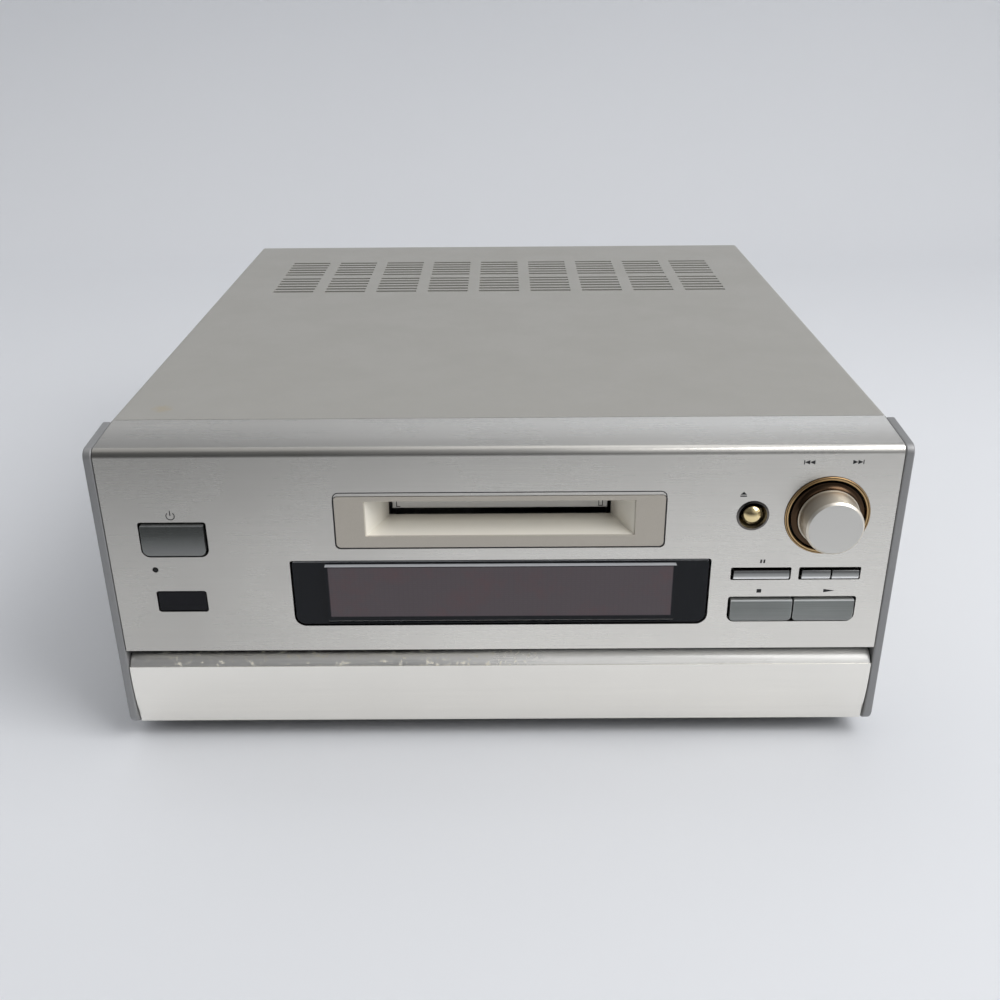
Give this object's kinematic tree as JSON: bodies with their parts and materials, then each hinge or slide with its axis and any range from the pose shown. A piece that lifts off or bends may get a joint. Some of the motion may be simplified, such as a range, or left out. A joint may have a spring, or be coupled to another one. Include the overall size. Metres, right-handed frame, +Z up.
{
  "type": "minidisc deck",
  "caption": "Compact minidisc recorder deck with a funnel disc slot, display window, jog knob, push buttons and a drop-down door over its recording controls.",
  "frame": {"origin": "on the table under the middle of the bounding box, which runs from the jog knob to the line jacks", "axes": "+X to the right seen from the front, +Y to the back, +Z up"},
  "size_m": [0.275, 0.3136, 0.12],
  "materials": {
    "cover_paint": "fine textured warm grey paint",
    "panel_aluminium": "brushed, clear anodised champagne silver",
    "cheek_silver": "satin grey paint",
    "bezel_champagne": "smooth champagne moulding",
    "black_plastic": "black moulding",
    "window_black": "black tinted acrylic",
    "display_glass": "evacuated display tube",
    "gold_plate": "polished gold plate",
    "dark_chrome": "dark bright ring",
    "knob_champagne": "satin turned aluminium",
    "button_silver": "brushed silver paint",
    "bar_silver": "bright silver plating",
    "small_button_silver": "satin silver paint",
    "record_red": "red moulding",
    "control_grey": "grey satin paint",
    "lamp_red": "unlit red lamp",
    "zinc_steel": "zinc plated sheet",
    "bright_steel": "stainless sheet",
    "black_steel": "black zinc plated",
    "nickel": "nickel plate",
    "board_green": "lacquered circuit board",
    "board_tan": "paper circuit board",
    "core_iron": "varnished laminations",
    "rubber_black": "black rubber",
    "gear_white": "natural acetal",
    "brass": "machined brass",
    "sled_grey": "die cast"
  },
  "bodies": {
    "deck": {"bottom_chassis": "zinc_steel", "top_cover": "cover_paint", "rear_panel": "cover_paint", "front_frame": "black_plastic", "front_panel": "panel_aluminium", "left_cheek": "cheek_silver", "right_cheek": "cheek_silver", "slot_bezel": "bezel_champagne", "display_window": "window_black", "display_tube": "display_glass", "ir_window": "window_black", "standby_led": "lamp_red", "jog_ring": "gold_plate", "jog_encoder": "black_plastic", "eject_bezel": "dark_chrome", "control_panel": "control_grey", "phones_jack": "black_plastic", "front_boards": "board_green", "tact_switches": "black_plastic", "line_jacks": "nickel", "optical_jacks": "black_plastic", "remote_jacks": "black_plastic", "mains_inlet": "black_plastic", "power_transformer": "core_iron", "power_board": "board_tan", "main_board": "board_green", "feet": "rubber_black", "cover_screws": "black_steel", "mech_bracket": "zinc_steel", "mech_dampers": "rubber_black", "mech_frame": "zinc_steel", "loading_motor": "bright_steel", "spindle_motor": "bright_steel"},
    "shutter": {"slot_shutter": "bezel_champagne"},
    "jog_plunger": {"jog_plunger": "gear_white"},
    "jog": {"jog_knob": "knob_champagne", "jog_shaft": "bright_steel"},
    "power": {"power_button": "button_silver"},
    "eject": {"eject_button": "gold_plate"},
    "pause": {"pause_button": "bar_silver"},
    "display_key": {"display_button": "bar_silver"},
    "play_mode": {"play_mode_button": "bar_silver"},
    "stop": {"stop_button": "button_silver"},
    "play": {"play_button": "button_silver"},
    "door": {"drop_door": "panel_aluminium"},
    "record_key": {"record_button": "record_red"},
    "input_key": {"input_button": "small_button_silver"},
    "edit_key": {"edit_button": "small_button_silver"},
    "yes_key": {"yes_button": "small_button_silver"},
    "record_level": {"record_level_knob": "small_button_silver"},
    "phones_level": {"phones_level_knob": "small_button_silver"},
    "timer": {"timer_switch": "black_plastic"},
    "loader": {"loading_slider": "gear_white"},
    "holder": {"cartridge_holder": "bright_steel"},
    "loading_gear": {"loading_gear": "gear_white"},
    "pinion": {"motor_pinion": "brass"},
    "turntable": {"turntable": "bright_steel"},
    "sled": {"pickup_sled": "sled_grey"},
    "sled_gear": {"sled_gear": "gear_white"},
    "head_arm": {"head_arm": "bright_steel"}
  },
  "joints": [
    {"name": "power_press", "type": "slide", "parent": "deck", "child": "power", "axis": [0, 1, 0], "range_m": [0, 0.0008], "stiffness_N_per_m": 1500},
    {"name": "eject_press", "type": "slide", "parent": "deck", "child": "eject", "axis": [0, 1, 0], "range_m": [0, 0.0008], "stiffness_N_per_m": 1500},
    {"name": "pause_press", "type": "slide", "parent": "deck", "child": "pause", "axis": [0, 1, 0], "range_m": [0, 0.0008], "stiffness_N_per_m": 1500},
    {"name": "display_press", "type": "slide", "parent": "deck", "child": "display_key", "axis": [0, 1, 0], "range_m": [0, 0.0008], "stiffness_N_per_m": 1500},
    {"name": "play_mode_press", "type": "slide", "parent": "deck", "child": "play_mode", "axis": [0, 1, 0], "range_m": [0, 0.0008], "stiffness_N_per_m": 1500},
    {"name": "stop_press", "type": "slide", "parent": "deck", "child": "stop", "axis": [0, 1, 0], "range_m": [0, 0.0008], "stiffness_N_per_m": 1500},
    {"name": "play_press", "type": "slide", "parent": "deck", "child": "play", "axis": [0, 1, 0], "range_m": [0, 0.0008], "stiffness_N_per_m": 1500},
    {"name": "record_press", "type": "slide", "parent": "deck", "child": "record_key", "axis": [0, 1, 0], "range_m": [0, 0.0008], "stiffness_N_per_m": 1500},
    {"name": "input_press", "type": "slide", "parent": "deck", "child": "input_key", "axis": [0, 1, 0], "range_m": [0, 0.0008], "stiffness_N_per_m": 1500},
    {"name": "edit_press", "type": "slide", "parent": "deck", "child": "edit_key", "axis": [0, 1, 0], "range_m": [0, 0.0008], "stiffness_N_per_m": 1500},
    {"name": "yes_press", "type": "slide", "parent": "deck", "child": "yes_key", "axis": [0, 1, 0], "range_m": [0, 0.0008], "stiffness_N_per_m": 1500},
    {"name": "shutter_swing", "type": "hinge", "parent": "deck", "child": "shutter", "pos_m": [0.0004, -0.1323, 0.1004], "axis": [1, 0, 0], "range_deg": [0, 75], "stiffness_Nm_per_rad": 0.004},
    {"name": "jog_press", "type": "slide", "parent": "deck", "child": "jog_plunger", "axis": [0, 1, 0], "range_m": [0, 0.0008], "stiffness_N_per_m": 2500},
    {"name": "jog_spin", "type": "hinge", "parent": "jog_plunger", "child": "jog", "pos_m": [0.1112, -0.1462, 0.0932], "axis": [0, 1, 0], "continuous": true},
    {"name": "door_swing", "type": "hinge", "parent": "deck", "child": "door", "pos_m": [0, -0.1392, 0.0107], "axis": [1, 0, 0], "range_deg": [0, 90]},
    {"name": "record_level_turn", "type": "hinge", "parent": "deck", "child": "record_level", "pos_m": [0.1, -0.1362, 0.023], "axis": [0, 1, 0], "range_deg": [-150, 150]},
    {"name": "phones_level_turn", "type": "hinge", "parent": "deck", "child": "phones_level", "pos_m": [-0.093, -0.1362, 0.023], "axis": [0, 1, 0], "range_deg": [-150, 150]},
    {"name": "timer_slide", "type": "slide", "parent": "deck", "child": "timer", "axis": [1, 0, 0], "range_m": [-0.004, 0.004]},
    {"name": "load_slide", "type": "slide", "parent": "deck", "child": "loader", "axis": [0, 1, 0], "range_m": [0, 0.01]},
    {"name": "holder_drop", "type": "slide", "parent": "deck", "child": "holder", "axis": [0, 0, -1], "range_m": [0, 0.004]},
    {"name": "loading_gear_spin", "type": "hinge", "parent": "deck", "child": "loading_gear", "pos_m": [-0.0414, -0.0862, 0.0755], "axis": [1, 0, 0], "range_deg": [-72, 0]},
    {"name": "pinion_spin", "type": "hinge", "parent": "deck", "child": "pinion", "pos_m": [-0.0414, -0.0982, 0.0755], "axis": [1, 0, 0], "range_deg": [0, 144]},
    {"name": "disc_spin", "type": "hinge", "parent": "deck", "child": "turntable", "pos_m": [0, -0.0842, 0.08], "axis": [0, 0, 1], "continuous": true},
    {"name": "sled_slide", "type": "slide", "parent": "deck", "child": "sled", "axis": [1, 0, 0], "range_m": [0, 0.016]},
    {"name": "sled_gear_spin", "type": "hinge", "parent": "deck", "child": "sled_gear", "pos_m": [0.03, -0.0626, 0.078], "axis": [0, 0, 1], "range_deg": [0, 184]},
    {"name": "head_drop", "type": "hinge", "parent": "sled", "child": "head_arm", "pos_m": [0.047, -0.0842, 0.1025], "axis": [0, -1, 0], "range_deg": [0, 6]}
  ],
  "couplings": [
    {"joint": "holder_drop", "follows": "load_slide", "ratio": 0.4},
    {"joint": "loading_gear_spin", "follows": "load_slide", "rad_per_m": -125},
    {"joint": "pinion_spin", "follows": "load_slide", "rad_per_m": 250},
    {"joint": "sled_gear_spin", "follows": "sled_slide", "rad_per_m": 200}
  ]
}
